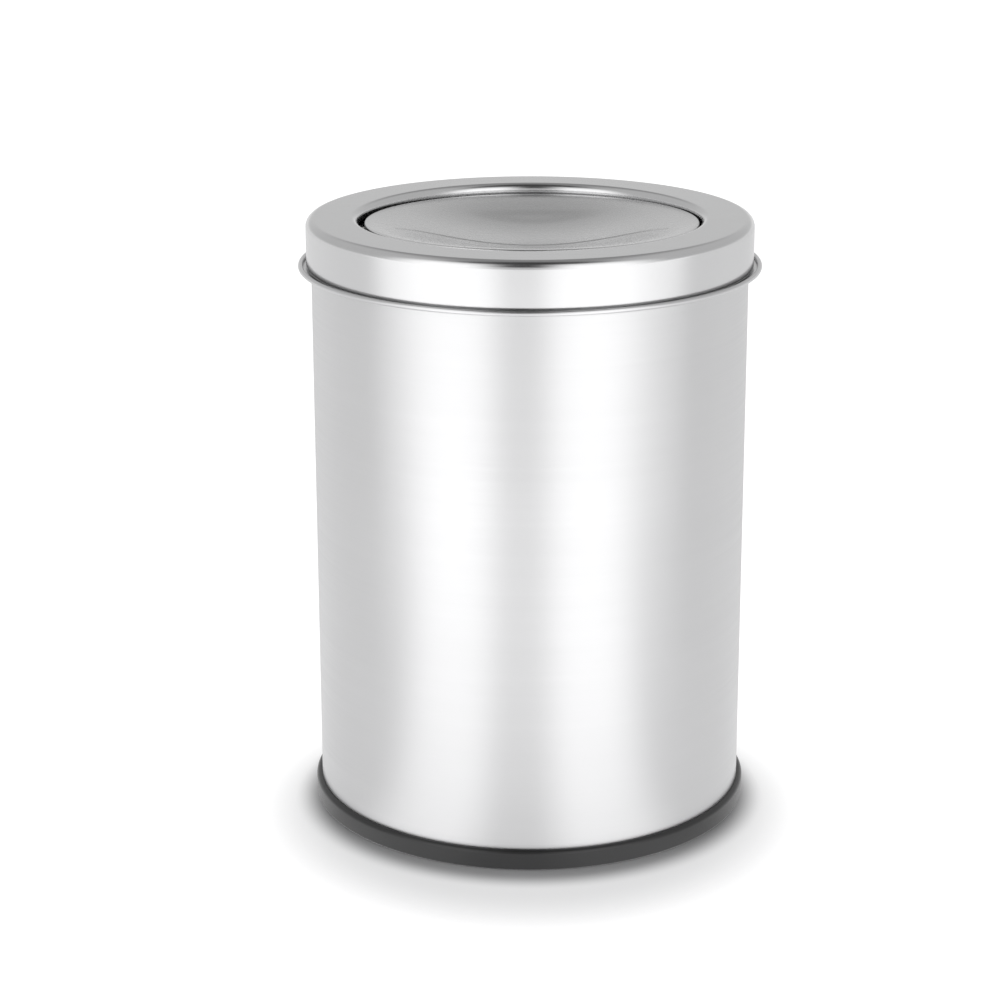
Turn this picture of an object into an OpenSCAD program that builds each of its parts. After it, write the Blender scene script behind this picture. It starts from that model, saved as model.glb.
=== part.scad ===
// Countertop trash can with a swing lid, in millimetres.
// A rolled steel tube stands in a dark base ring. A pressed lid ring stands on the tube's rolled rim,
// and a dished flap swings in the lid's mouth on two stub pins, with a weight under it that rights it.
// Origin: centre of the underside. +Z up, the front is -Y, left is -X as seen from the front.

/* [Body tube] */
// Outer diameter of the body tube
body_d = 180; // [140:1:240]
// Height of the rim flange's top face above the surface that the can stands on
body_h = 230.8; // [150:0.1:320]
// Sheet thickness of the body tube
body_sheet = 0.5; // [0.4:0.1:0.8]

/* [Rim of the tube] */
// Width of the gutter between the lid's skirt and the rolled edge
gutter_w = 1.4; // [0.8:0.1:3]
// Outside diameter of the rolled edge
curl_d = 2; // [1.8:0.1:4]
// Inside radius of the bend between the tube and its flange
rim_bend_r = 0.4; // [0.3:0.1:0.5]

/* [Base ring] */
// How far the ring stands out beyond the tube
base_reach = 2.4; // [2:0.1:5]
// Height of the ring
base_h = 8.4; // [7:0.1:16]
// Thickness of the ring under the tube's lower edge
base_web = 2.8; // [1.5:0.1:4]
// Thickness of the ring's inner wall
base_inner_wall = 2.2; // [1.6:0.1:5]
// Height of the ring's inner wall
base_inner_h = 7; // [5:0.1:9]
// Radius of the ring's rounded upper edge
base_top_r = 1.8; // [0.5:0.1:2]
// Radius of the ring's rounded lower edge
base_foot_r = 1; // [0.3:0.1:1.5]

/* [Bottom plate] */
// Sheet thickness of the bottom plate
plate_sheet = 0.5; // [0.4:0.1:0.8]
// Height of the plate's turned-down rim
plate_rim_h = 9; // [8:0.1:20]
// Outside radius of the bend between the plate and its rim
plate_bend_r = 2; // [1:0.1:4]
// Diameter of the pressed stiffening groove, at its middle
groove_d = 128; // [80:1:132]
// Width of the stiffening groove's floor
groove_w = 5; // [2:0.5:10]
// Depth of the stiffening groove
groove_depth = 2; // [1:0.1:3]

/* [Lid ring] */
// How far the skirt's outer face stands out beyond the tube
lid_overhang = 2; // [1.8:0.1:4]
// Height of the lid, from the skirt's lower edge to the flat top
lid_h = 19.9; // [16:0.1:40]
// Sheet thickness of the lid
lid_sheet = 0.5; // [0.4:0.1:0.6]
// Radius of the shoulder between the skirt and the flat top
shoulder_r = 3.5; // [1.5:0.1:6]
// Outside radius of the fold at the skirt's lower edge
hem_r = 0.75; // [0.7:0.05:0.85]
// Height of the sheet folded up inside the skirt
hem_h = 4; // [2:0.1:8]
// Width of the ring, from the skirt's outer face to the mouth's lip
ring_w = 21.5; // [18:0.1:30]
// Radius of the rolled edge of the mouth
mouth_r = 3; // [1.5:0.1:3.5]
// Depth of the mouth's turned-down lip below the flat top
lip_h = 4.4; // [3.6:0.1:5]

/* [Flap] */
// Gap all round between the flap's rim and the lip of the mouth
flap_gap = 1.8; // [1.2:0.1:4]
// Sheet thickness of the flap
flap_sheet = 0.6; // [0.4:0.1:0.8]
// How far the flap's flat edge lies below the lid's top, at the pivots
flap_sink = 2.3; // [1:0.1:3]
// Radius of the edge between the flap's top and its turned-down rim
flap_edge_r = 0.8; // [0.7:0.1:2.5]
// Width of the flat edge round the dish
flat_edge_w = 1.2; // [1:0.1:12]
// Depth of the dish
dish_depth = 10; // [6:0.1:11]
// How late the dish's floor turns up into its wall
dish_floor = 2; // [1.8:0.1:4]
// How softly the dish's wall runs out into the flat edge
dish_run_out = 1.5; // [1:0.05:2]
// How far the turned-down rim reaches below the pins
rim_below_pin = 2.4; // [1.5:0.1:5]
// How far the flap hangs tilted, with its back low, in degrees
flap_tilt = 1.5; // [0:0.1:4]

/* [Pivots] */
// Diameter of the stub pins
pin_d = 4; // [3:0.1:5]
// Diameter of a pin's head
pin_head_d = 7; // [6.5:0.1:8]
// Thickness of a pin's head
pin_head_t = 1.5; // [1:0.1:2]
// Clearance between the mouth's lip and the washers that turn below it
lip_clear = 0.8; // [0.4:0.1:2]
// Side play of the flap either way, taken up to the right
side_play = 0.8; // [0:0.1:1]
// Diameter of the washers between the flap and the bushes
washer_d = 7.6; // [7:0.1:8.4]
// Width of a doubler plate, along the flap's rim
doubler_w = 16; // [10:0.5:24]
// Thickness of a doubler plate
doubler_t = 1.2; // [0.8:0.1:2]
// Diameter of a bush's flange
bush_flange_d = 7.6; // [7:0.1:9]
// Thickness of a bush's flange
bush_flange_t = 1; // [0.6:0.1:1.5]
// Wall thickness of a bush
bush_wall = 1; // [0.6:0.1:1.2]
// How far a bush sticks out behind its bracket
bush_tail = 0.6; // [0.3:0.1:1.5]
// Sheet thickness of a bracket
bracket_sheet = 1.2; // [0.8:0.1:2]
// Width of a bracket
bracket_w = 14; // [10:0.5:24]
// Outside radius of a bracket's bend
bracket_bend_r = 2.4; // [2.2:0.1:3]
// Distance from the end of a bracket's foot to the lid's shoulder
foot_margin = 4.5; // [2:0.1:6]
// Diameter of the push-on clips that hold the pins in
clip_d = 9; // [8:0.1:11]
// Thickness of a clip
clip_t = 0.8; // [0.5:0.1:1.5]
// How far a pin reaches through its clip
pin_tail = 1.6; // [0.8:0.1:3]

/* [Counterweight] */
// Diameter of the weight
weight_d = 40; // [24:1:60]
// Thickness of the weight
weight_t = 8; // [4:0.5:12]
// How far the weight sits behind the middle of the flap
weight_offset = 0.17; // [0:0.01:1]
// Diameter of the threaded stud
stud_d = 5; // [4:0.5:6]
// Diameter of the stud's welding foot
stud_foot_d = 10; // [8:0.5:14]
// Thickness of the stud's welding foot
stud_foot_t = 0.8; // [0.5:0.1:1.5]
// Diameter of the washer under the nut
weight_washer_d = 12; // [11:0.5:16]
// Thickness of the washer under the nut
weight_washer_t = 1; // [0.6:0.1:2]
// Width of the nut across its flats
nut_flats = 8; // [7.5:0.5:10]
// Thickness of the nut
nut_t = 4; // [3:0.1:5]
// How far the stud reaches through the nut
stud_tail = 1.5; // [0.5:0.1:3]

/* [Fits] */
// Clearance between a turning pin and its bush, and of a part on its pin or stud, all round
pin_clear = 0.05; // [0.03:0.01:0.09]
// Gap between nested or stacked pieces
seat_clear = 0.1; // [0.05:0.05:0.2]
// Gap between the lid's lower edge and the flange that it stands on
lid_seat = 0.3; // [0.2:0.05:0.5]

/* [Hidden] */
$fn = 96;
left = -1;
right = 1;

// Tube, rim and base
body_r = body_d / 2;
curl_r = curl_d / 2;
curl_centre_r = body_r + lid_overhang + gutter_w + curl_r;
curl_end = 200;
flange_under = body_h - body_sheet;
tube_foot = base_web + seat_clear;
plate_r = body_r - body_sheet - seat_clear;
plate_top = tube_foot + plate_rim_h;
slot_out = body_r + seat_clear;
slot_in = plate_r - plate_sheet - seat_clear;

// Lid
lid_r = body_r + lid_overhang;
lid_foot = body_h + lid_seat;
lid_top = lid_foot + lid_h;
lid_under = lid_top - lid_sheet;
mouth_lip_r = lid_r - ring_w;
lip_foot = lid_top - lip_h;

// Pivot axis, and the flap in its own frame, whose X axis is the pivot axis
axis_z = lip_foot - lip_clear - washer_d / 2;
flap_r = mouth_lip_r - flap_gap;
flap_top = lid_top - flap_sink - axis_z;
flap_foot = -(pin_d / 2 + rim_below_pin);
dish_r = flap_r - flat_edge_w;
dish_under = flap_top - dish_depth - flap_sheet;

// Along the pivot axis, from the middle outwards: doubler, rim, washer, bush, bracket, clip
doubler_r = flap_r - flap_sheet - seat_clear;
pin_head_x = doubler_r - doubler_t - seat_clear;
bush_x = mouth_lip_r + lid_sheet + 2 * seat_clear;
washer_x = flap_r + seat_clear;
washer_t = bush_x - side_play - seat_clear - washer_x;
leg_x = bush_x + bush_flange_t;
bush_end_x = leg_x + bracket_sheet + bush_tail;
clip_x = bush_end_x + side_play + seat_clear;
pin_end_x = clip_x + clip_t + pin_tail;
foot_end_x = lid_r - shoulder_r - foot_margin;
bore_r = pin_d / 2 + pin_clear;
bush_r = bore_r + bush_wall;

// Under the dish, from the top down: foot of the stud, weight, washer, nut
weight_top = dish_under - stud_foot_t;
weight_foot = weight_top - weight_t;
washer_foot = weight_foot - weight_washer_t;
nut_foot = washer_foot - nut_t;
stud_end = nut_foot - stud_tail;
stud_hole_r = stud_d / 2 + pin_clear;

arc_steps = 8;
dish_steps = 28;
chamfer = 0.4;

// Points of a circular arc about c from angle a0 to angle a1
function arc(c, r, a0, a1) =
  [for (i = [0:arc_steps]) let (a = a0 + (a1 - a0) * i / arc_steps) c + r * [cos(a), sin(a)]];
function unit(v) = v / norm(v);
function left_of(v) = unit([-v[1], v[0]]);
// The way vertex i of path p moves when the whole path is shifted to its left by 1 mm
function shift(p, i) =
  let (before = left_of(i > 0 ? p[i] - p[i - 1] : p[1] - p[0]))
  let (after = left_of(i < len(p) - 1 ? p[i + 1] - p[i] : p[i] - p[i - 1]))
  p[i][0] == 0 ? [0, -1] : (before + after) / (1 + before * after);
// Outline of a sheet of thickness t whose outer face follows path p, with the sheet on the left of it
function sheet(p, t) = concat(p, [for (i = [len(p) - 1:-1:0]) p[i] + t * shift(p, i)]);
// Height of the dish's upper face over its edge at radius r
function dish_z(r) = -dish_depth * pow(1 - pow(r / dish_r, dish_floor), dish_run_out);

module turned(path, t) {
  rotate_extrude() polygon(sheet(path, t));
}

// A piece drawn on the right-hand side, shown there or mirrored to the left
module on_side(side) {
  mirror([side == left ? 1 : 0, 0, 0]) children();
}

// A piece turned about the pivot axis: its profile is [radius, distance along the axis]
module on_axis(profile) {
  rotate([0, 90, 0]) rotate_extrude() polygon(profile);
}

// A piece drawn in the flap's own frame, where the flap hangs
module hung() {
  translate([side_play, 0, axis_z]) rotate([-flap_tilt, 0, 0]) children();
}

// Tube with an outward flange at the top, whose edge is rolled up
module body_shell() {
  bend = [body_r + rim_bend_r, flange_under - rim_bend_r];
  curl = [curl_centre_r, flange_under + curl_r];
  path = concat(
    [[body_r, tube_foot]],
    arc(bend, rim_bend_r, 180, 90),
    arc(curl, curl_r, -90, curl_end)
  );
  color("silver") turned(path, body_sheet);
}

// Pressed plate with a turned-down rim and a round stiffening groove
module bottom_plate() {
  groove_in = groove_d / 2 - groove_w / 2;
  groove_out = groove_d / 2 + groove_w / 2;
  path = concat(
    [[plate_r, tube_foot]],
    arc([plate_r - plate_bend_r, plate_top - plate_bend_r], plate_bend_r, 0, 90),
    [
      [groove_out + groove_depth, plate_top],
      [groove_out, plate_top - groove_depth],
      [groove_in, plate_top - groove_depth],
      [groove_in - groove_depth, plate_top],
      [0, plate_top]
    ]
  );
  color("darkgray") turned(path, plate_sheet);
}

// Moulded ring with a slot for the lower edges of the tube and the plate
module base_ring() {
  outer = body_r + base_reach;
  inner = slot_in - base_inner_wall;
  profile = concat(
    [[inner, base_foot_r], [inner + base_foot_r, 0]],
    arc([outer - base_foot_r, base_foot_r], base_foot_r, -90, 0),
    arc([outer - base_top_r, base_h - base_top_r], base_top_r, 0, 90),
    [
      [slot_out, base_h],
      [slot_out, base_web],
      [slot_in, base_web],
      [slot_in, base_inner_h - chamfer],
      [slot_in - chamfer, base_inner_h],
      [inner + chamfer, base_inner_h],
      [inner, base_inner_h - chamfer]
    ]
  );
  color("dimgray") rotate_extrude() polygon(profile);
}

// Pressed ring: folded hem, skirt, shoulder, flat top, and the rolled-down lip of the mouth
module lid_shell() {
  path = concat(
    [[lid_r - 2 * hem_r, lid_foot + hem_h]],
    arc([lid_r - hem_r, lid_foot + hem_r], hem_r, 180, 360),
    arc([lid_r - shoulder_r, lid_top - shoulder_r], shoulder_r, 0, 90),
    arc([mouth_lip_r + mouth_r, lid_top - mouth_r], mouth_r, 90, 180),
    [[mouth_lip_r, lip_foot]]
  );
  color("lightgray") turned(path, lid_sheet);
}

// Bent bracket, spot-welded by its foot under the lid's flat top
module pivot_bracket(side) {
  bend = [leg_x + bracket_bend_r, lid_under - bracket_bend_r];
  path = concat([[foot_end_x, lid_under]], arc(bend, bracket_bend_r, 90, 180), [[leg_x, axis_z]]);
  color("gray") on_side(side) difference() {
    union() {
      rotate([90, 0, 0]) linear_extrude(bracket_w, center = true) polygon(sheet(path, bracket_sheet));
      translate([leg_x, 0, axis_z]) rotate([0, 90, 0]) cylinder(d = bracket_w, h = bracket_sheet);
    }
    translate([leg_x - 1, 0, axis_z]) rotate([0, 90, 0])
      cylinder(r = bush_r + pin_clear, h = bracket_sheet + 2);
  }
}

// Flanged plastic bush, pushed into the bracket from the flap's side
module pivot_bush(side) {
  profile = [
    [bore_r, bush_x],
    [bush_flange_d / 2, bush_x],
    [bush_flange_d / 2, leg_x],
    [bush_r, leg_x],
    [bush_r, bush_end_x],
    [bore_r, bush_end_x]
  ];
  color("whitesmoke") on_side(side) translate([0, 0, axis_z]) on_axis(profile);
}

// Hole for a pin through the flap's rim and its doubler, on the right-hand side, in the flap's frame
module pin_hole() {
  translate([pin_head_x, 0, 0]) rotate([0, 90, 0]) cylinder(r = bore_r, h = washer_x - pin_head_x);
}

// Pressed disc: turned-down rim, narrow flat edge, and a dish that is steepest two thirds of the way out
module flap_disc() {
  edge = arc([flap_r - flap_edge_r, flap_top - flap_edge_r], flap_edge_r, 0, 90);
  dish = [for (i = [0:dish_steps]) let (r = dish_r * (1 - i / dish_steps)) [r, flap_top + dish_z(r)]];
  color("silver") hung() difference() {
    turned(concat([[flap_r, flap_foot]], edge, dish), flap_sheet);
    for (side = [left, right]) on_side(side) pin_hole();
  }
}

// Curved plate, spot-welded inside the flap's rim, that thickens it round the pin
module flap_doubler(side) {
  span = doubler_w / doubler_r * 180 / PI;
  top = flap_top - flap_edge_r - seat_clear;
  foot = flap_foot + seat_clear;
  color("gray") hung() on_side(side) difference() {
    rotate([0, 0, -span / 2]) rotate_extrude(angle = span)
      translate([doubler_r - doubler_t, foot]) square([doubler_t, top - foot]);
    pin_hole();
  }
}

// Headed stub pin, put through the doubler and the rim from inside
module pivot_pin(side) {
  head_r = pin_head_d / 2;
  profile = [
    [0, pin_head_x - pin_head_t],
    [head_r - chamfer, pin_head_x - pin_head_t],
    [head_r, pin_head_x - pin_head_t + chamfer],
    [head_r, pin_head_x],
    [pin_d / 2, pin_head_x],
    [pin_d / 2, pin_end_x - chamfer],
    [pin_d / 2 - chamfer, pin_end_x],
    [0, pin_end_x]
  ];
  color("lightslategray") hung() on_side(side) on_axis(profile);
}

// Washer that keeps the flap's rim off the bush
module pivot_washer(side) {
  profile = [
    [bore_r, washer_x],
    [washer_d / 2, washer_x],
    [washer_d / 2, washer_x + washer_t],
    [bore_r, washer_x + washer_t]
  ];
  color("whitesmoke") hung() on_side(side) on_axis(profile);
}

// Push-on clip with a raised middle that grips the pin
module pivot_clip(side) {
  grip_r = (bore_r + clip_d / 2) / 2;
  profile = [
    [bore_r, clip_x + clip_t / 2],
    [grip_r, clip_x],
    [clip_d / 2, clip_x],
    [clip_d / 2, clip_x + clip_t / 2],
    [grip_r, clip_x + clip_t / 2],
    [bore_r, clip_x + clip_t]
  ];
  color("slategray") hung() on_side(side) on_axis(profile);
}

// A piece on the stud's own line, a little behind the middle of the flap
module on_stud() {
  hung() translate([0, weight_offset, 0]) children();
}

// Threaded stud, welded by its foot under the middle of the dish
module weight_stud() {
  profile = [
    [0, dish_under],
    [0, stud_end],
    [stud_d / 2 - chamfer, stud_end],
    [stud_d / 2, stud_end + chamfer],
    [stud_d / 2, weight_top],
    [stud_foot_d / 2, weight_top],
    [stud_foot_d / 2, dish_under]
  ];
  color("slategray") on_stud() rotate_extrude() polygon(profile);
}

// Steel disc whose weight rights the flap
module counterweight() {
  profile = [
    [stud_hole_r, weight_foot],
    [weight_d / 2 - chamfer, weight_foot],
    [weight_d / 2, weight_foot + chamfer],
    [weight_d / 2, weight_top - chamfer],
    [weight_d / 2 - chamfer, weight_top],
    [stud_hole_r, weight_top]
  ];
  color("dimgray") on_stud() rotate_extrude() polygon(profile);
}

module weight_washer() {
  color("silver") on_stud() difference() {
    translate([0, 0, washer_foot]) cylinder(d = weight_washer_d, h = weight_washer_t);
    translate([0, 0, washer_foot - 1]) cylinder(r = stud_hole_r, h = weight_washer_t + 2);
  }
}

// Hexagon nut with chamfered corners
module weight_nut() {
  corner_d = nut_flats / cos(30);
  color("silver") on_stud() difference() {
    intersection() {
      translate([0, 0, nut_foot]) cylinder(d = corner_d, h = nut_t, $fn = 6);
      translate([0, 0, nut_foot]) rotate_extrude() polygon([
        [0, 0],
        [corner_d / 2 - chamfer, 0],
        [corner_d / 2 + chamfer, chamfer],
        [corner_d / 2 + chamfer, nut_t],
        [0, nut_t]
      ]);
    }
    translate([0, 0, nut_foot - 1]) cylinder(r = stud_hole_r, h = nut_t + 2);
  }
}

body_shell();
bottom_plate();
base_ring();
lid_shell();
pivot_bracket(left);  // pivot_bracket_left
pivot_bracket(right);  // pivot_bracket_right
pivot_bush(left);  // pivot_bush_left
pivot_bush(right);  // pivot_bush_right
flap_disc();
flap_doubler(left);  // flap_doubler_left
flap_doubler(right);  // flap_doubler_right
pivot_pin(left);  // pivot_pin_left
pivot_pin(right);  // pivot_pin_right
pivot_washer(left);  // pivot_washer_left
pivot_washer(right);  // pivot_washer_right
pivot_clip(left);  // pivot_clip_left
pivot_clip(right);  // pivot_clip_right
weight_stud();
counterweight();
weight_washer();
weight_nut();
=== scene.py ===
# %% [markdown]
# # Countertop trash can with a swing lid
#
# The can is made almost wholly of thin stainless sheet: a rolled tube in a dark moulded foot ring, a
# pressed lid ring that stands on the tube's rolled rim, and a dished flap that swings in the lid's mouth.
# The packed CAD model is loaded first and never moved. Each cell then makes one piece or one finish
# around it, in metres and in the same frame: +Z up, -Y to the front, the flap's pivot line along X.

# %% Load the frame
import math

import bpy
import numpy as np
from mathutils import Matrix, Vector


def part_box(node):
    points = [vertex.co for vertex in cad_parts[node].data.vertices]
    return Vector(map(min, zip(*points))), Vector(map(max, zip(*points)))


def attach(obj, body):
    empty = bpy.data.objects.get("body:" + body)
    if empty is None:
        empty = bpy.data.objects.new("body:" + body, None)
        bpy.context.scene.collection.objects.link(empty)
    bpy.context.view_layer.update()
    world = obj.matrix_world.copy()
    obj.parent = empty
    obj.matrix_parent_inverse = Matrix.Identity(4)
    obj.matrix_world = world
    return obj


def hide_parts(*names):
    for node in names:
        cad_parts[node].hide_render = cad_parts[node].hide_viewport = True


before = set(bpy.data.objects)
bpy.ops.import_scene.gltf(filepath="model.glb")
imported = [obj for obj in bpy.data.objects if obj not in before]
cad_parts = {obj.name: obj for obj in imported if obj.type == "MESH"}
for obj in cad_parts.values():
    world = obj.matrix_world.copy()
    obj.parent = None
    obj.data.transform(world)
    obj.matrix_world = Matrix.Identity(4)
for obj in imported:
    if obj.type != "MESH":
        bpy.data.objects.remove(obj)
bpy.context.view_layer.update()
scene = bpy.context.scene
scene.view_settings.view_transform = "Standard"
MM = 0.001

# %% [markdown]
# ## Camera
#
# A product photograph like this one is taken with a long lens from about a metre away, a little above the
# lid. The ellipses of the lid, the mouth and the foot ring fix the angle, and how much they differ in
# flatness fixes the distance. A camera is easiest to place by its own three directions: where it looks,
# what it calls right, and what it calls up.

# %% Camera
CAMERA_PLACE = Vector((0.0, -1.08545, 0.46198))
CAMERA_PITCH = math.radians(17.0734)
CAMERA_YAW = math.radians(-0.6602)
CAMERA_ROLL = -0.00213
LENS_MM = 96.506
SENSOR_MM = 36.0

looks = Vector((math.sin(CAMERA_YAW) * math.cos(CAMERA_PITCH),
                math.cos(CAMERA_YAW) * math.cos(CAMERA_PITCH), -math.sin(CAMERA_PITCH)))
level_right = Vector((math.cos(CAMERA_YAW), -math.sin(CAMERA_YAW), 0.0))
level_up = level_right.cross(looks)
camera_right = math.cos(CAMERA_ROLL) * level_right + math.sin(CAMERA_ROLL) * level_up
camera_up = math.cos(CAMERA_ROLL) * level_up - math.sin(CAMERA_ROLL) * level_right
camera_turn = Matrix((camera_right, camera_up, -looks)).transposed().to_4x4()
camera = bpy.data.objects.new("camera", bpy.data.cameras.new("camera"))
camera.data.lens = LENS_MM
camera.data.sensor_width = SENSOR_MM
camera.data.clip_start = 0.01
camera.data.clip_end = 60.0
camera.matrix_world = Matrix.Translation(CAMERA_PLACE) @ camera_turn
scene.collection.objects.link(camera)
scene.camera = camera
print("camera looks along", [round(v, 3) for v in looks])

# %% [markdown]
# ## How the round pieces are drawn
#
# Every main piece of the can is round, as on the real one, where a lathe or a round press tool shapes it.
# So each is one outline in the half plane beside the axis, turned once round. The outline is drawn in
# millimetres as (radius, height) points, with real arcs at the bends. A polished bend shows every flaw in its
# reflections, so the arcs are fine, and each long straight stretch gets two more points close to its ends,
# which keep its shading flat.

# %% Outlines
def arc(centre, radius, start, end, steps=12):
    """Points on a circular arc: centre + radius * (cos a, sin a), with a running from start to end."""
    a = np.radians(np.linspace(start, end, steps + 1))
    return np.asarray(centre) + radius * np.column_stack([np.cos(a), np.sin(a)])


def joined(*parts):
    """One run of points from several, where a point that repeats the one before it is left out."""
    points = np.vstack([np.atleast_2d(np.asarray(p, float)) for p in parts])
    step = np.linalg.norm(np.diff(points, axis=0), axis=1)
    return points[np.concatenate([[True], step > 1e-6])]


def sheet(path, thickness):
    """Outline of sheet metal: the path, then the path moved to its left by the thickness, back again.

    Each point moves along the sum of the left-hand directions of its two stretches, divided by one plus
    their dot product, which keeps the thickness true at a corner."""
    along = np.diff(path, axis=0)
    along /= np.linalg.norm(along, axis=1)[:, None]
    left = np.column_stack([-along[:, 1], along[:, 0]])
    before = np.vstack([left[:1], left])
    after = np.vstack([left, left[-1:]])
    move = (before + after) / (1 + (before * after).sum(1))[:, None]
    move[path[:, 0] == 0] = (0, -1)
    return np.vstack([path, (path + thickness * move)[::-1]])


def supported(outline, closed, margin=0.12, long_stretch=1.2):
    """The outline with two more points on each long straight stretch, a margin away from its ends."""
    start = outline if closed else outline[:-1]
    end = np.roll(outline, -1, axis=0) if closed else outline[1:]
    length = np.linalg.norm(end - start, axis=1)[:, None]
    inward = (end - start) * margin / length
    candidates = np.stack([start, start + inward, end - inward], axis=1)
    kept = np.hstack([np.ones_like(length, bool), length > long_stretch, length > long_stretch])
    points = candidates[kept]
    return points if closed else np.vstack([points, outline[-1:]])


print("a 2 mm bend in half-millimetre sheet has", len(sheet(arc((0, 0), 2, 0, 90), 0.5)), "points")

# %% [markdown]
# The outline is turned with whole arrays: every outline point is repeated at every azimuth, and the faces
# are the little quads between neighbours. Where the outline meets the axis, its ring shrinks to one point
# and the quads there become triangles. Corners sharper than a fine arc's are marked sharp, so that they
# stay crisp beside smooth bends.

# %% Turned surfaces
AROUND = 288
SHARP_ANGLE = 28.0


def mesh_object(name, points, quads, triangles=None, sharp_rings=None):
    """A smooth mesh object from arrays of points (in mm), quads and triangles.

    sharp_rings, where given, holds for each point the number of its sharp ring, or -1 for none."""
    mesh = bpy.data.meshes.new(name)
    triangles = np.zeros((0, 3), int) if triangles is None else triangles
    mesh.vertices.add(len(points))
    mesh.vertices.foreach_set("co", (np.asarray(points, float) * MM).ravel())
    corners = np.concatenate([quads.ravel(), triangles.ravel()]).astype(np.int32)
    mesh.loops.add(len(corners))
    mesh.loops.foreach_set("vertex_index", corners)
    starts = np.concatenate([np.arange(len(quads)) * 4, len(quads) * 4 + np.arange(len(triangles)) * 3])
    mesh.polygons.add(len(quads) + len(triangles))
    mesh.polygons.foreach_set("loop_start", starts.astype(np.int32))
    mesh.update(calc_edges=True)
    mesh.validate()
    mesh.polygons.foreach_set("use_smooth", np.ones(len(mesh.polygons), bool))
    if sharp_rings is not None:
        ends = np.zeros(len(mesh.edges) * 2, int)
        mesh.edges.foreach_get("vertices", ends)
        ring = sharp_rings[ends.reshape(-1, 2)]
        sharp = mesh.attributes.new("sharp_edge", "BOOLEAN", "EDGE")
        sharp.data.foreach_set("value", (ring[:, 0] >= 0) & (ring[:, 0] == ring[:, 1]))
    obj = bpy.data.objects.new(name, mesh)
    scene.collection.objects.link(obj)
    return obj


def turned(name, outline, closed=True, azimuths=None, shape=None):
    """A surface of revolution: outline point (r, z) at azimuth t goes to (r cos t, r sin t, z).

    An outline that runs counterclockwise, seen with the radius to the right, gives faces that point out.
    shape, where given, takes the grids of x, y and z and returns the points, for a piece that is pressed
    or hung out of round."""
    outline = supported(outline, closed)
    t = np.linspace(0, 2 * np.pi, AROUND, endpoint=False) if azimuths is None else azimuths
    rows, columns = len(outline), len(t)
    r, z = outline[:, :1], outline[:, 1:]
    grid = np.stack([r * np.cos(t), r * np.sin(t), np.broadcast_to(z, (rows, columns))], axis=-1)
    if shape is not None:
        grid = shape(grid)
    pole = outline[:, 0] < 1e-9
    number = np.arange(rows)[:, None] * columns + np.arange(columns)
    number[pole] = number[pole, :1]
    used, number = np.unique(number, return_inverse=True)
    number = number.reshape(rows, columns)
    turn_sharp = corner_is_sharp(outline, closed)
    ring_of = np.where(turn_sharp, np.arange(rows), -1)
    sharp_rings = np.repeat(ring_of, columns)[used]
    lower = number if closed else number[:-1]
    upper = np.roll(number, -1, axis=0) if closed else number[1:]
    quads = np.stack([lower, np.roll(lower, -1, 1), np.roll(upper, -1, 1), upper], axis=-1).reshape(-1, 4)
    low_pole, high_pole = quads[:, 0] == quads[:, 1], quads[:, 2] == quads[:, 3]
    triangles = np.vstack([quads[low_pole & ~high_pole][:, [0, 2, 3]], quads[high_pole & ~low_pole][:, :3]])
    whole = quads[~(low_pole | high_pole)]
    return mesh_object(name, grid.reshape(-1, 3)[used], whole, triangles, sharp_rings)


def corner_is_sharp(outline, closed):
    """True at each outline point where the direction turns by more than the sharp angle."""
    before = outline - np.roll(outline, 1, axis=0)
    after = np.roll(outline, -1, axis=0) - outline
    lengths = np.linalg.norm(before, axis=1) * np.linalg.norm(after, axis=1)
    cosine = (before * after).sum(1) / (lengths + 1e-12)
    sharp = cosine < math.cos(math.radians(SHARP_ANGLE))
    if not closed:
        sharp[[0, -1]] = False
    return sharp


def stands_for(obj, body, slot, *nodes):
    """Puts a piece on its body in place of its CAD nodes, and says how it compares with them in size."""
    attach(obj, body)
    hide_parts(*nodes)
    low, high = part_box(nodes[0])
    made = np.zeros(len(obj.data.vertices) * 3)
    obj.data.vertices.foreach_get("co", made)
    made = made.reshape(-1, 3)
    worst = max(np.abs(made.min(0) - low).max(), np.abs(made.max(0) - high).max())
    print(f"{obj.name}: {len(obj.data.polygons)} faces, box within {worst / MM:.2f} mm of the CAD node's")


print("a turned piece has", AROUND, "columns, one at each", 360 / AROUND, "degrees")

# %% [markdown]
# ## Finishes in nodes
#
# Each finish is a principled shader with a little life in it: a faint cloud in the colour, a fine grain in
# the roughness, and a bump at the scale of the tool that made the surface. The patterns read Object
# coordinates, which are metres from the middle of the can's foot. A small node writer keeps them short.

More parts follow.
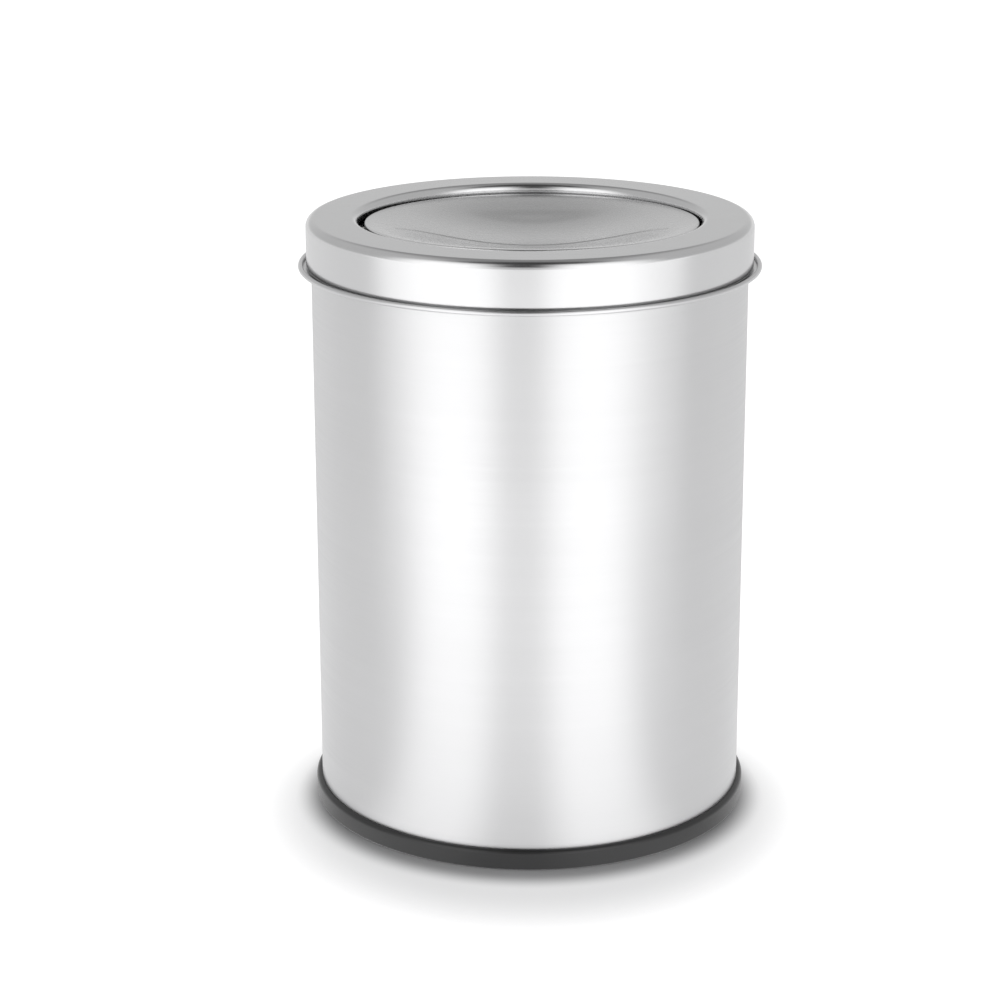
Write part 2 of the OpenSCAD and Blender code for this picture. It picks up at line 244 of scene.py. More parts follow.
# %% Node writer
class Nodes:
    """Adds nodes to a material's or the world's tree. A value is a number, or a socket to link."""

    def __init__(self, tree):
        self.tree = tree
        tree.nodes.clear()

    def add(self, kind, values=None, **settings):
        """A node with its settings made, and its inputs filled or linked."""
        node = self.tree.nodes.new(kind)
        for key, value in settings.items():
            setattr(node, key, value)
        for key, value in (values or {}).items():
            if isinstance(value, bpy.types.NodeSocket):
                self.tree.links.new(value, node.inputs[key])
            else:
                node.inputs[key].default_value = value
        return node

    def math(self, operation, *values):
        """The result of one operation on values that are numbers or sockets."""
        node = self.add("ShaderNodeMath", dict(enumerate(values)), operation=operation)
        return node.outputs[0]

    def fade(self, value, start, end, low=0.0, high=1.0):
        """A smooth step: low up to start, high from end."""
        values = {"Value": value, "From Min": start, "From Max": end, "To Min": low, "To Max": high}
        node = self.add("ShaderNodeMapRange", values, interpolation_type="SMOOTHSTEP")
        return node.outputs["Result"]

    def noise(self, place, scale, detail=2.0, roughness=0.5):
        """A cloud of values from 0 to 1, with about scale blotches to the metre."""
        node = self.add("ShaderNodeTexNoise", {"Vector": place, "Scale": scale, "Detail": detail,
                                               "Roughness": roughness})
        return node.outputs["Fac"]

    def stretched(self, place, scale):
        """The place with each axis multiplied by its own scale, which squeezes a pattern along it."""
        node = self.add("ShaderNodeMapping", {"Vector": place, "Scale": scale})
        return node.outputs["Vector"]

    def distance(self, place, centre):
        """How far the place is from a centre, in metres."""
        node = self.add("ShaderNodeVectorMath", {0: place, 1: centre}, operation="DISTANCE")
        return node.outputs["Value"]

    def tone(self, level, colour, swing):
        """The colour, made up to swing lighter or darker as level goes from 0 to 1.

        In a colour mix, inputs 6 and 7 are the two colours and output 2 is the mix."""
        lo = [c * (1 - swing) for c in colour] + [1]
        hi = [c * (1 + swing) for c in colour] + [1]
        node = self.add("ShaderNodeMix", {0: level, 6: lo, 7: hi}, data_type="RGBA")
        return node.outputs[2]


def material(name, draw):
    """A material whose tree the draw function fills: it gets the node writer and Object coordinates."""
    made = bpy.data.materials.new(name)
    made.use_nodes = True
    nodes = Nodes(made.node_tree)
    place = nodes.add("ShaderNodeTexCoord").outputs["Object"]
    shader = draw(nodes, place)
    nodes.add("ShaderNodeOutputMaterial", {"Surface": shader.outputs[0]})
    return made


def dress(obj, finish):
    """One finish over the whole piece."""
    obj.data.materials.clear()
    obj.data.materials.append(finish)


print("the node writer's helpers:", [name for name in vars(Nodes) if not name.startswith("_")])

# %% [markdown]
# ## Steel
#
# Bright stainless sheet isn't a perfect mirror. Rolling and polishing leave fine lines that run round the
# can, and these spread each reflection up and down but hardly sideways, which is why a steel can shows
# tall, even bands of light. The shader's anisotropy does this: its tangent goes round the can, and a
# quarter turn of the rotation stretches the highlights upwards. The lines themselves are a noise squeezed
# hard in height. The lid and the flap are pressed from flat sheet, so their lines run straight across.

# %% Steel
ROUND_LINES = (6, 6, 2600)
ACROSS_LINES = (30, 1600, 1600)
LINE_HEIGHT = 0.02 * MM


def steel(colour, roughness, lines=0.0, aniso=0.0, cloud=0.03, grain=0.04, line_scale=ROUND_LINES,
          mark=None):
    """A drawing function for one grade of steel.

    cloud and grain say how far its colour and its roughness wander, lines how strong the rolling lines are
    and line_scale how close together, aniso how much they draw a reflection out, and mark, where given, is
    a function that dims the colour in places."""
    def draw(nodes, place):
        """The principled shader of this steel, with its lines as a bump."""
        drift = nodes.noise(place, 14.0, 3.0)
        rolled = nodes.noise(nodes.stretched(place, line_scale), 1.0, 4.0, 0.6)
        rough = nodes.fade(rolled, 0.25, 0.75, roughness - grain, roughness + grain)
        shade = nodes.tone(drift, colour, cloud)
        if mark:
            shade = nodes.add("ShaderNodeVectorMath", {0: shade, "Scale": mark(nodes, place)},
                              operation="SCALE").outputs["Vector"]
        values = {"Base Color": shade, "Metallic": 1.0, "Roughness": rough}
        if aniso:
            round_the_axis = nodes.add("ShaderNodeTangent", direction_type="RADIAL", axis="Z")
            values.update({"Anisotropic": aniso, "Anisotropic Rotation": 0.25,
                           "Tangent": round_the_axis.outputs[0]})
        if lines:
            bump = nodes.add("ShaderNodeBump", {"Height": rolled, "Strength": lines,
                                                "Distance": LINE_HEIGHT})
            values["Normal"] = bump.outputs[0]
        return nodes.add("ShaderNodeBsdfPrincipled", values)
    return draw


SHEET_STEEL = (0.55, 0.55, 0.554)
body_steel = material("body_steel", steel(SHEET_STEEL, 0.32, lines=0.06, aniso=0.75))
lid_steel = material("lid_steel", steel(SHEET_STEEL, 0.18, lines=0.05, line_scale=ACROSS_LINES))
mill_steel = material("mill_steel", steel((0.50, 0.50, 0.51), 0.38, lines=0.35, line_scale=(700, 30, 30)))
pin_steel = material("pin_steel", steel((0.56, 0.56, 0.57), 0.22, lines=0.3, line_scale=(2600, 60, 60)))
blued_steel = material("blued_steel", steel((0.10, 0.105, 0.13), 0.33, lines=0.2, line_scale=(300, 300, 300)))
print("steels:", [made.name for made in (body_steel, lid_steel, mill_steel, pin_steel, blued_steel)])

# %% [markdown]
# The flap's sheet is a little brighter, and carries the faint dark oval that the photograph shows behind its
# middle. It might be a dent, but a soft mark in the tone is enough: the distance from its middle, measured
# in half lengths and half widths, fades the tone in and out again.

# %% Flap steel
FLAP_STEEL = (0.64, 0.64, 0.643)
MARK_AT = (0.0019, 0.0395)
MARK_HALF = (0.025, 0.0075)
MARK_INSIDE, MARK_OUTSIDE = (0.1, 0.6), (0.7, 1.35)
MARK_MIDDLE = 0.45
MARK_DEPTH = 0.13


def faint_oval(nodes, place):
    """How much light a faint dark oval on the flap lets through; its own middle is a little lighter."""
    axes = nodes.add("ShaderNodeSeparateXYZ", {0: place}).outputs
    offset = [nodes.math("SUBTRACT", axes[i], MARK_AT[i]) for i in (0, 1)]
    share = [nodes.math("DIVIDE", offset[i], MARK_HALF[i]) for i in (0, 1)]
    squares = [nodes.math("POWER", part, 2.0) for part in share]
    off = nodes.math("SQRT", nodes.math("ADD", *squares))
    ring = nodes.math("MULTIPLY", nodes.fade(off, *MARK_OUTSIDE, 1.0, 0.0),
                      nodes.fade(off, *MARK_INSIDE, MARK_MIDDLE, 1.0))
    return nodes.math("SUBTRACT", 1.0, nodes.math("MULTIPLY", ring, MARK_DEPTH))


flap_steel = material("flap_steel", steel(FLAP_STEEL, 0.27, lines=0.02, grain=0.025,
                                          line_scale=ACROSS_LINES, mark=faint_oval))
print("flap steel with a mark", [round(2 * half / MM) for half in MARK_HALF], "mm across")

# %% [markdown]
# ## Zinc plate
#
# The weight and its fastenings are plated with zinc, which dries in blotches of warmer and cooler grey. One
# noise gives the blotches their tone and their roughness together, and a finer one pits the surface.

# %% Zinc plate
PIT_DEPTH = 0.04 * MM


def zinc(nodes, place):
    """Plated steel: a warm grey with blotches a few millimetres wide and a finely pitted surface."""
    blotch = nodes.noise(place, 260.0, 3.0, 0.6)
    pits = nodes.noise(place, 2200.0, 2.0)
    bump = nodes.add("ShaderNodeBump", {"Height": pits, "Strength": 0.25, "Distance": PIT_DEPTH})
    return nodes.add("ShaderNodeBsdfPrincipled", {
        "Base Color": nodes.tone(blotch, (0.50, 0.49, 0.46), 0.12), "Metallic": 1.0,
        "Roughness": nodes.fade(blotch, 0.3, 0.7, 0.30, 0.44), "Normal": bump.outputs[0]})


zinc_plate = material("zinc_plate", zinc)
print("plate:", zinc_plate.name)

# %% [markdown]
# ## Plastics
#
# The foot ring is moulded in a dark grey plastic, matt from the texture of its mould: a bump of fine
# grains, and a roughness that wanders a little. The bushes and washers are natural nylon, a milky white
# that light enters a short way.

# %% Plastics
MOULD_GRAIN = 0.06 * MM
MOULD_MARK = 0.05 * MM


def ring_plastic(nodes, place):
    """Dark moulded plastic with a fine grain."""
    grain = nodes.noise(place, 2600.0, 2.0, 0.6)
    drift = nodes.noise(place, 40.0, 3.0)
    bump = nodes.add("ShaderNodeBump", {"Height": grain, "Strength": 0.35, "Distance": MOULD_GRAIN})
    return nodes.add("ShaderNodeBsdfPrincipled", {
        "Base Color": nodes.tone(drift, (0.010, 0.010, 0.0105), 0.15), "IOR": 1.49,
        "Roughness": nodes.fade(grain, 0.3, 0.7, 0.28, 0.38), "Normal": bump.outputs[0]})


def natural_nylon(nodes, place):
    """Milky plastic with soft mould marks."""
    drift = nodes.noise(place, 300.0, 3.0)
    bump = nodes.add("ShaderNodeBump", {"Height": drift, "Strength": 0.15, "Distance": MOULD_MARK})
    return nodes.add("ShaderNodeBsdfPrincipled", {
        "Base Color": nodes.tone(drift, (0.78, 0.77, 0.72), 0.04), "IOR": 1.53,
        "Roughness": nodes.fade(drift, 0.3, 0.7, 0.38, 0.48), "Subsurface Weight": 0.15,
        "Subsurface Radius": (0.6, 0.55, 0.45), "Subsurface Scale": 0.001, "Normal": bump.outputs[0]})


ring_finish = material("ring_finish", ring_plastic)
nylon = material("nylon", natural_nylon)
print("plastics:", ring_finish.name, "and", nylon.name)

# %% [markdown]
# ## The tube
#
# The tube is a strip of half-millimetre steel, rolled round and welded down the back, with its top edge
# turned out into a narrow flange whose own edge is rolled up. It could be a cylinder with a torus on top,
# but then the flange's bends, which catch all the light at the rim, would be missing. One sheet outline
# holds them all. The weld is a real but very low ridge in the surface, so the columns of the mesh are
# closer together there.

# %% Tube
BODY_R = 90.0
BODY_H = 230.8
BODY_SHEET = 0.5
RIM_BEND_R = 0.4
LID_OVERHANG = 2.0
GUTTER_W = 1.4
CURL_R = 1.0
CURL_END = 200
TUBE_FOOT = 2.9
WELD_RISE = 0.05
WELD_HALF_W = 0.5
WELD_TOP_GAP = 3.0
WELD_REACH = 2.0
WELD_COLUMNS = 25
WELD_CLEAR_ANGLE = 0.015

curl_centre_r = BODY_R + LID_OVERHANG + GUTTER_W + CURL_R
flange_under = BODY_H - BODY_SHEET
tube_path = joined(
    (BODY_R, TUBE_FOOT),
    arc((BODY_R + RIM_BEND_R, flange_under - RIM_BEND_R), RIM_BEND_R, 180, 90, 8),
    arc((curl_centre_r, flange_under + CURL_R), CURL_R, -90, CURL_END, 32))


def welded(grid):
    """Raises the wall at the back by a smooth ridge: rise * exp(-(distance round the tube / width)^2).

    Only the outer face is raised, and the ridge runs out just below the rim."""
    r = np.hypot(grid[..., 0], grid[..., 1])
    round_the_wall = BODY_R * np.arctan2(grid[..., 0], grid[..., 1])
    below_rim = np.clip((BODY_H - WELD_TOP_GAP - grid[..., 2]) / WELD_TOP_GAP, 0, 1)
    on_wall = below_rim * (r > BODY_R - BODY_SHEET / 2)
    rise = WELD_RISE * np.exp(-(round_the_wall / WELD_HALF_W) ** 2) * on_wall
    grid[..., :2] *= (1 + rise / r)[..., None]
    return grid


even = np.linspace(0, 2 * np.pi, AROUND, endpoint=False)
weld_offsets = np.linspace(-WELD_REACH, WELD_REACH, WELD_COLUMNS) * WELD_HALF_W / BODY_R
clear_of_weld = even[np.abs(even - np.pi / 2) > WELD_CLEAR_ANGLE]
tube_azimuths = np.unique(np.concatenate([clear_of_weld, np.pi / 2 + weld_offsets]))
tube = turned("tube", sheet(tube_path, BODY_SHEET), azimuths=tube_azimuths, shape=welded)
dress(tube, body_steel)
stands_for(tube, "bin", "body_steel", "body_shell")

# %% [markdown]
# ## The bottom plate
#
# The plate that closes the tube is pressed: its rim is turned down beside the tube's wall, and a round
# groove stiffens it. A flat disc would close the tube as well, but would show neither the bend nor the
# groove when the lid is off. So it is one more sheet outline, which ends on the axis.

# %% Bottom plate
PLATE_R = 89.4
PLATE_TOP = 11.9
PLATE_BEND_R = 2.0
GROOVE_IN, GROOVE_OUT, GROOVE_DEPTH = 61.5, 66.5, 2.0

plate_path = joined(
    (PLATE_R, TUBE_FOOT),
    arc((PLATE_R - PLATE_BEND_R, PLATE_TOP - PLATE_BEND_R), PLATE_BEND_R, 0, 90),
    (GROOVE_OUT + GROOVE_DEPTH, PLATE_TOP), (GROOVE_OUT, PLATE_TOP - GROOVE_DEPTH),
    (GROOVE_IN, PLATE_TOP - GROOVE_DEPTH), (GROOVE_IN - GROOVE_DEPTH, PLATE_TOP), (0, PLATE_TOP))
plate = turned("bottom_pan", sheet(plate_path, BODY_SHEET), closed=False)
dress(plate, mill_steel)
stands_for(plate, "bin", "plate_steel", "bottom_plate")

# %% [markdown]
# ## The foot ring
#
# The ring is moulded, with a slot on top for the edges of the tube and the plate. It is solid, so its
# outline is drawn all the way round, and its two outer corners are real arcs, because they catch the light.

# %% Foot ring
RING_OUT = 92.4
RING_IN = 86.6
RING_H = 8.4
RING_TOP_R = 1.8
RING_FOOT_R = 1.0
SLOT_OUT, SLOT_IN, SLOT_FOOT = 90.1, 88.8, 2.8
RING_INNER_H = 7.0
EDGE_BREAK = 0.4

ring_outline = joined(
    (RING_IN, RING_FOOT_R), (RING_IN + RING_FOOT_R, 0),
    arc((RING_OUT - RING_FOOT_R, RING_FOOT_R), RING_FOOT_R, -90, 0),
    arc((RING_OUT - RING_TOP_R, RING_H - RING_TOP_R), RING_TOP_R, 0, 90, 16),
    (SLOT_OUT, RING_H), (SLOT_OUT, SLOT_FOOT), (SLOT_IN, SLOT_FOOT), (SLOT_IN, RING_INNER_H - EDGE_BREAK),
    (SLOT_IN - EDGE_BREAK, RING_INNER_H), (RING_IN + EDGE_BREAK, RING_INNER_H),
    (RING_IN, RING_INNER_H - EDGE_BREAK))
foot_ring = turned("foot_ring", ring_outline)
dress(foot_ring, ring_finish)
stands_for(foot_ring, "bin", "base_plastic", "base_ring")

# %% [markdown]
# ## The lid ring
#
# One pressing: a folded hem at the foot of the skirt, the skirt, a rounded shoulder, the flat top, and the
# mouth's lip rolled down inside. The two bends carry the dark and bright lines that draw the lid in the
# photograph, so their radii matter more than anything else on it.

# %% Lid ring
LID_R = 92.0
LID_FOOT = 231.1
LID_TOP = 251.0
LID_SHEET = 0.5
SHOULDER_R = 3.5
HEM_R = 0.75
HEM_H = 4.0
MOUTH_R = 3.0
MOUTH_LIP_R = 70.5
LIP_FOOT = 246.6

lid_path = joined(
    (LID_R - 2 * HEM_R, LID_FOOT + HEM_H),
    arc((LID_R - HEM_R, LID_FOOT + HEM_R), HEM_R, 180, 360, 20),
    arc((LID_R - SHOULDER_R, LID_TOP - SHOULDER_R), SHOULDER_R, 0, 90, 24),
    arc((MOUTH_LIP_R + MOUTH_R, LID_TOP - MOUTH_R), MOUTH_R, 90, 180, 24),
    (MOUTH_LIP_R, LIP_FOOT))
lid = turned("lid_ring", sheet(lid_path, LID_SHEET))
dress(lid, lid_steel)
stands_for(lid, "lid", "lid_steel", "lid_shell")

# %% [markdown]
# ## The flap
#
# A disc of slightly thicker sheet, pressed into a dish nearly to its edge, with its rim turned down round
# the pivots. The dish is a formula: its depth at radius r is the full depth times
# (1 - (r / edge radius) ^ floor) ^ run-out, so it is flat in the middle, steepest two thirds of the way
# out, and runs out softly at its edge. The flap hangs a degree and a half low at the back, as the
# photograph shows.

# %% Flap
AXIS_Z = 242.0
SIDE_PLAY = 0.8
FLAP_TILT = math.radians(1.5)
FLAP_R = 68.7
FLAP_TOP = 6.7
FLAP_FOOT = -4.4
FLAP_SHEET = 0.6
FLAP_EDGE_R = 0.8
DISH_R = 67.5
DISH_DEPTH = 10.0
DISH_FLOOR = 2.0
DISH_RUN_OUT = 1.5
DISH_POINTS = 90
DISH_CROWDING = 1.5


def dish_height(r):
    """The dish's height at radius r: top - depth * (1 - (r / edge radius) ^ floor) ^ run-out."""
    inside = np.minimum(r / DISH_R, 1.0)
    return FLAP_TOP - DISH_DEPTH * (1 - inside ** DISH_FLOOR) ** DISH_RUN_OUT


def dish_path():
    """The dish from its edge to the middle, as (radius, height) points, closest together near the edge."""
    r = DISH_R * (1 - np.linspace(0, 1, DISH_POINTS) ** DISH_CROWDING)
    return np.column_stack([r, dish_height(r)])


def hung(grid):
    """Turns the flap about the pivot line by its tilt, and moves it up to the pivots and to its side play."""
    c, s = math.cos(-FLAP_TILT), math.sin(-FLAP_TILT)
    x, y, z = np.moveaxis(grid, -1, 0)
    return np.stack([x + SIDE_PLAY, c * y - s * z, s * y + c * z + AXIS_Z], axis=-1)


flap_path = joined(
    (FLAP_R, FLAP_FOOT),
    arc((FLAP_R - FLAP_EDGE_R, FLAP_TOP - FLAP_EDGE_R), FLAP_EDGE_R, 0, 90, 16),
    dish_path())
flap = turned("flap_pan", sheet(flap_path, FLAP_SHEET), closed=False, shape=hung)
dress(flap, flap_steel)
stands_for(flap, "flap", "flap_steel", "flap_disc")

# %% [markdown]
# ## The crease across the flap
#
# The photograph shows one fine dark line across the dish. On a real flap this would be a stiffening bead
# beside the pivot line, about a millimetre wide and a third of one high. It could be a groove in the outline
# if it ran round the dish, but it runs across, so it is a narrow strip of its own that follows the dish's
# formula, with its long edges sunk a hair into the sheet. Its height across is a bell curve,
# rise * exp(-(distance / spread)^2), and it fades out at both ends.

# %% Crease
CREASE_HALF_L = 56.0
CREASE_HALF_W = 1.2
CREASE_RISE = 0.30
CREASE_SPREAD = 0.42
CREASE_SINK = 0.03
CREASE_FORWARD = 2.3
CREASE_TURN = 9.0
CREASE_TURN_POWER = 8
CREASE_FADE = 1.2
CREASE_COLUMNS = 25
CREASE_ROWS = 241


def crease_line(x):
    """How far in front of the pivot line the crease runs: straight, with its ends turned to the front.

    That is forward + turn * (x / half length) ^ power."""
    return CREASE_FORWARD + CREASE_TURN * (x / CREASE_HALF_L) ** CREASE_TURN_POWER


across, along = np.meshgrid(np.linspace(-1, 1, CREASE_COLUMNS),
                            np.linspace(-CREASE_HALF_L, CREASE_HALF_L, CREASE_ROWS))
crease_y = CREASE_HALF_W * across - crease_line(along)
from_end = np.clip((CREASE_HALF_L - np.abs(along)) / CREASE_FADE, 0, 1)
end_fade = from_end * from_end * (3 - 2 * from_end)
rise = CREASE_RISE * np.exp(-(CREASE_HALF_W * across / CREASE_SPREAD) ** 2) * end_fade
crease_z = dish_height(np.hypot(along, crease_y)) + rise - CREASE_SINK
crease_points = hung(np.stack([along, crease_y, crease_z], axis=-1)).reshape(-1, 3)
corner = (np.arange(CREASE_ROWS - 1)[:, None] * CREASE_COLUMNS + np.arange(CREASE_COLUMNS - 1)).ravel()
next_row = corner + CREASE_COLUMNS
crease = mesh_object("crease", crease_points, np.column_stack([corner, next_row, next_row + 1, corner + 1]))
dress(crease, flap_steel)
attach(crease, "flap")
print("crease:", len(crease.data.polygons), "faces, first normal", crease.data.polygons[0].normal)

# %% [markdown]
# ## The small parts under the lid
#
# Brackets, bushes, pins, washers, clips and the counterweight keep their CAD shapes, because those are
# plain turned and bent forms that are right as they are. They only need their finishes.

# %% Small parts
SMALL_PARTS = {
    mill_steel: ["pivot_bracket_left", "pivot_bracket_right", "flap_doubler_left", "flap_doubler_right"],
    nylon: ["pivot_bush_left", "pivot_bush_right", "pivot_washer_left", "pivot_washer_right"],
    pin_steel: ["pivot_pin_left", "pivot_pin_right"],
    blued_steel: ["pivot_clip_left", "pivot_clip_right"],
    zinc_plate: ["weight_stud", "counterweight", "weight_washer", "weight_nut"],
}
for finish, names in SMALL_PARTS.items():
    for name in names:
        dress(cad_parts[name], finish)
print(sum(len(names) for names in SMALL_PARTS.values()), "small parts dressed")

# %% [markdown]
# ## Where the lights stand
#
# Two tall soft lights stand on the floor to the front left and front right, with a darker gap between them
# where the camera is. Both the tent that carries them and the painted reflection of them in the floor need
# their place, so it is worked out once, by the azimuth: the light opens on both sides of the gap and closes
# towards the back. The gap is a few degrees to the left, as the dark middle of the tube in the photograph is.

# %% Soft lights
GAP_AT = -4.0
GAP_HALF, BRIGHT_FROM = 4.5, 29.0
BRIGHT_TO, TENT_END = 46.0, 77.0


def degrees_aside(nodes, axes):
    """The azimuth in degrees, from 0 in the middle of the gap between the lights to 180 behind."""
    azimuth = nodes.math("ARCTAN2", axes["X"], nodes.math("MULTIPLY", axes["Y"], -1.0))
    off_middle = nodes.math("SUBTRACT", nodes.math("DEGREES", azimuth), GAP_AT)
    return nodes.math("ABSOLUTE", off_middle)


def light_share(nodes, aside):
    """How bright the soft lights are, from 0 to 1, so many degrees aside."""
    opens = nodes.fade(aside, GAP_HALF, BRIGHT_FROM)
    closes = nodes.fade(aside, BRIGHT_TO, TENT_END, 1.0, 0.0)
    return nodes.math("MULTIPLY", opens, closes)


print("soft lights: brightest from", BRIGHT_FROM, "to", BRIGHT_TO, "degrees aside")

# %% [markdown]
# ## Floor
#
# A pale floor that keeps the can's shadow in its diffuse paint. It also glows, but only for the camera and
# for reflections, so that it clips to white without lighting the can. The camera's glow carries a painted
# shadow round the can: it starts outside the shadow's dark core, and is whole past its wide fringe, whose
# middle lies a little to the front.
#
# What the steel reflects of the floor is set apart from that, because the steel shows levels above white too.
# It is a painted pool of light that is brightest in front and lower behind and far off, with painted shade
# straight behind the can and close round it. It carries a faint painted reflection of the soft lights, so
# that the bands on the tube run on down to its foot.

# %% Floor
FLOOR_HALF = 12.0
FLOOR_COLOUR = (0.35, 0.35, 0.355)
# The painted pool of light that reflections see in the floor, its painted shade straight behind and near the
# can, and the painted reflection of the soft lights in it.
GLOW_BEHIND, GLOW_IN_FRONT, GLOW_FAR_OFF = 0.87, 1.33, 1.04
FRONT_FADE = (-0.40, -0.02)
FAR_FADE = (-1.32, -0.98)
SHADED_STRAIGHT_BEHIND, BEHIND_FADE = 0.80, (115.0, 165.0)
SHADED_GLOW_NEARBY, NEARBY_FADE = 0.95, (0.10, 0.35)
PAINTED_LIGHTS_LEVEL, PAINTED_LIGHTS_SQUEEZE = 0.42, 1.22
# The painted shadow in the camera's glow round the can: its dark core, its wide fringe, and the core's share
# of the glow.
CORE_CENTRE, CORE = (0.0, -0.008, 0.0), (0.088, 0.102)
FRINGE_CENTRE, FRINGE = (0.0, -0.027, 0.0), (0.086, 0.149)
FRINGE_SQUEEZE = (1.09, 1, 1)
CORE_SHARE = 0.48


def painted_shadow_white(nodes, place, from_core):
    """How white the camera sees the floor, with a painted shadow round the can: part of the glow outside the
    core, all of it past the fringe.
    """
    from_fringe = nodes.distance(nodes.stretched(place, FRINGE_SQUEEZE), FRINGE_CENTRE)
    out_of_core = nodes.fade(from_core, *CORE, 0.0, CORE_SHARE)
    out_of_fringe = nodes.fade(from_fringe, *FRINGE, 0.0, 1.0 - CORE_SHARE)
    return nodes.math("ADD", out_of_core, out_of_fringe)


def painted_pool_level(nodes, place, from_core):
    """How bright reflections see the floor, a painted pool of light: by how far in front and how far behind
    it is, with painted shade straight behind and near the can, and a painted reflection of the soft lights.
    """
    axes = nodes.add("ShaderNodeSeparateXYZ", {0: place}).outputs
    aside = degrees_aside(nodes, axes)
    in_front = nodes.fade(axes["Y"], *FAR_FADE, GLOW_FAR_OFF, GLOW_IN_FRONT)
    level = nodes.math("MULTIPLY", nodes.fade(axes["Y"], *FRONT_FADE, in_front, GLOW_BEHIND),
                       nodes.fade(aside, *BEHIND_FADE, 1.0, SHADED_STRAIGHT_BEHIND))
    lights = light_share(nodes, nodes.math("MULTIPLY", aside, PAINTED_LIGHTS_SQUEEZE))
    with_lights = nodes.math("ADD", level, nodes.math("MULTIPLY", lights, PAINTED_LIGHTS_LEVEL))
    nearby = nodes.fade(from_core, *NEARBY_FADE, SHADED_GLOW_NEARBY, 1.0)
    return nodes.math("MULTIPLY", nearby, with_lights)


def floor_paint(nodes, place):
    """Diffuse paint, plus one glow for the camera with a painted shadow round the can, and another for
    reflections that is a painted pool of light.
    """
    paint = nodes.add("ShaderNodeBsdfDiffuse", {"Color": (*FLOOR_COLOUR, 1)})
    from_core = nodes.distance(place, CORE_CENTRE)
    rays = nodes.add("ShaderNodeLightPath").outputs
    reflected = nodes.math("MAXIMUM", rays["Is Glossy Ray"], rays["Is Transmission Ray"])
    seen = nodes.math("MULTIPLY", rays["Is Camera Ray"], painted_shadow_white(nodes, place, from_core))
    pool = nodes.math("MULTIPLY", reflected, painted_pool_level(nodes, place, from_core))
    glow = nodes.math("MAXIMUM", seen, pool)
    light = nodes.add("ShaderNodeEmission", {"Color": (1, 1, 1, 1), "Strength": glow})
    return nodes.add("ShaderNodeAddShader", {0: paint.outputs[0], 1: light.outputs[0]})


corners = np.array([(-1, -1, 0), (1, -1, 0), (1, 1, 0), (-1, 1, 0)]) * FLOOR_HALF / MM
floor = mesh_object("floor", corners, np.array([[0, 1, 2, 3]]))
dress(floor, material("floor_paint", floor_paint))
print("floor:", 2 * FLOOR_HALF, "m square")

# %% [markdown]
# ## Light
#
# A metal can shows the studio more than it shows itself. Two area lamps would give two hard-edged bands on
# the tube, but the photograph's bands are soft, so the lights are one curved sheet round the front. Its
# brightness rises and falls with the azimuth and fades out above, and where it is dim it is clear as well,
# so its edges are as soft as those of a cloth tent.

# %% Light tent
TENT_R = 0.80
TENT_H = 2.10
TENT_REACH = 118.0
TENT_LEVEL = 1.85
TENT_COLUMNS = 60
FADE_LOW, FADE_HIGH = 0.50, 2.00


def tent_cloth(nodes, place):
    """A glow that depends on the azimuth from the front and on the height."""
    axes = nodes.add("ShaderNodeSeparateXYZ", {0: place}).outputs
    ends = nodes.fade(axes["Z"], FADE_LOW, FADE_HIGH, 1.0, 0.0)
    share = nodes.math("MULTIPLY", light_share(nodes, degrees_aside(nodes, axes)), ends)
    clear = nodes.add("ShaderNodeBsdfTransparent")
    glow = nodes.add("ShaderNodeEmission", {"Color": (1, 1, 1, 1), "Strength": TENT_LEVEL})
    return nodes.add("ShaderNodeMixShader", {0: share, 1: clear.outputs[0], 2: glow.outputs[0]})


tent_azimuths = np.radians(np.linspace(-TENT_REACH, TENT_REACH, TENT_COLUMNS))
tent_edge = np.column_stack([np.sin(tent_azimuths), -np.cos(tent_azimuths)]) * TENT_R / MM
tent_points = np.vstack([np.column_stack([tent_edge, np.full(TENT_COLUMNS, z / MM)])
                         for z in (0.0, TENT_H)])
foot = np.arange(TENT_COLUMNS - 1)
top = foot + TENT_COLUMNS
tent = mesh_object("tent", tent_points, np.column_stack([foot, top, top + 1, foot + 1]))
dress(tent, material("tent_cloth", tent_cloth))
tent.visible_camera = False
print("tent:", len(tent.data.polygons), "faces,", TENT_H, "m high")

# %% [markdown]
# ## Surroundings
#
# The rest of the studio is the world's own light, by direction. Behind the can it is pale, brightest at the
# horizon, with a darker patch high up in the middle, which the dish of the flap reflects. In front it is
# bright low down, which the lower part of the lid's shoulder reflects, and dark above. The border between
# the two leans: it lies further forward at the sides and further back high up. The camera itself sees
# plain white.

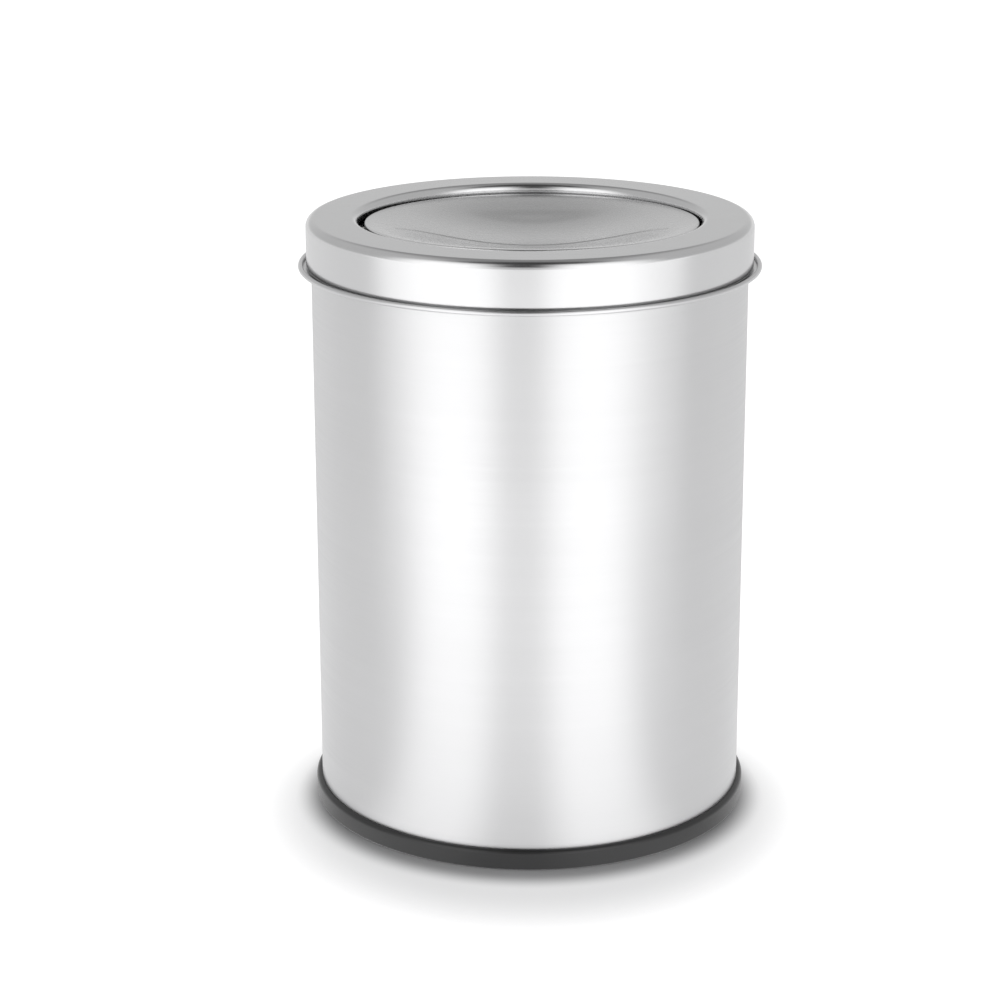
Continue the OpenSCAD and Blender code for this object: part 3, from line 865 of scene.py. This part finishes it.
# %% Surroundings
HORIZON_MORE, BACK_LOW, BACK_HIGH = 0.28, 0.72, 0.38
HORIZON_TOP = 0.16
OVERHEAD_FADE = (0.33, 0.60)
OVERHEAD_WIDTH = (0.12, 0.50)
ROOM_LOW, ROOM_HIGH = 0.80, 0.08
ROOM_FADE = (0.26, 0.52)
BORDER_FADE = (-0.35, 0.10)
BORDER_SIDEWAYS, BORDER_UPWARDS = 0.90, 0.35
world = bpy.data.worlds.new("studio")
scene.world = world
world.use_nodes = True
sky = Nodes(world.node_tree)
towards = sky.add("ShaderNodeTexCoord").outputs["Generated"]
axes = sky.add("ShaderNodeSeparateXYZ", {0: towards}).outputs
off_middle = sky.math("ABSOLUTE", axes["X"])
overhead = sky.math("MULTIPLY", sky.fade(axes["Z"], *OVERHEAD_FADE),
                    sky.fade(off_middle, *OVERHEAD_WIDTH, 1.0, 0.0))
low_back = sky.fade(axes["Z"], 0.0, HORIZON_TOP, BACK_LOW + HORIZON_MORE, BACK_LOW)
back = sky.math("SUBTRACT", low_back, sky.math("MULTIPLY", overhead, BACK_LOW - BACK_HIGH))
room = sky.fade(axes["Z"], *ROOM_FADE, ROOM_LOW, ROOM_HIGH)
beside = sky.math("MULTIPLY", off_middle, BORDER_SIDEWAYS)
upwards = sky.math("MULTIPLY", axes["Z"], BORDER_UPWARDS)
backwards = sky.math("ADD", axes["Y"], sky.math("SUBTRACT", beside, upwards))
behind = sky.fade(backwards, *BORDER_FADE)
level = sky.math("ADD", sky.math("MULTIPLY", behind, back),
                 sky.math("MULTIPLY", sky.math("SUBTRACT", 1.0, behind), room))
camera_ray = sky.add("ShaderNodeLightPath").outputs["Is Camera Ray"]
seen_level = sky.math("MAXIMUM", level, camera_ray)
light = sky.add("ShaderNodeBackground", {"Color": (1, 1, 1, 1), "Strength": seen_level})
sky.add("ShaderNodeOutputWorld", {"Surface": light.outputs[0]})
print("world:", world.name, "with", len(world.node_tree.nodes), "nodes")

# %% [markdown]
# ## Finish
#
# Each turned piece's box is compared with its CAD node's box where the piece is made. The visual
# model must stay in the CAD model's box.
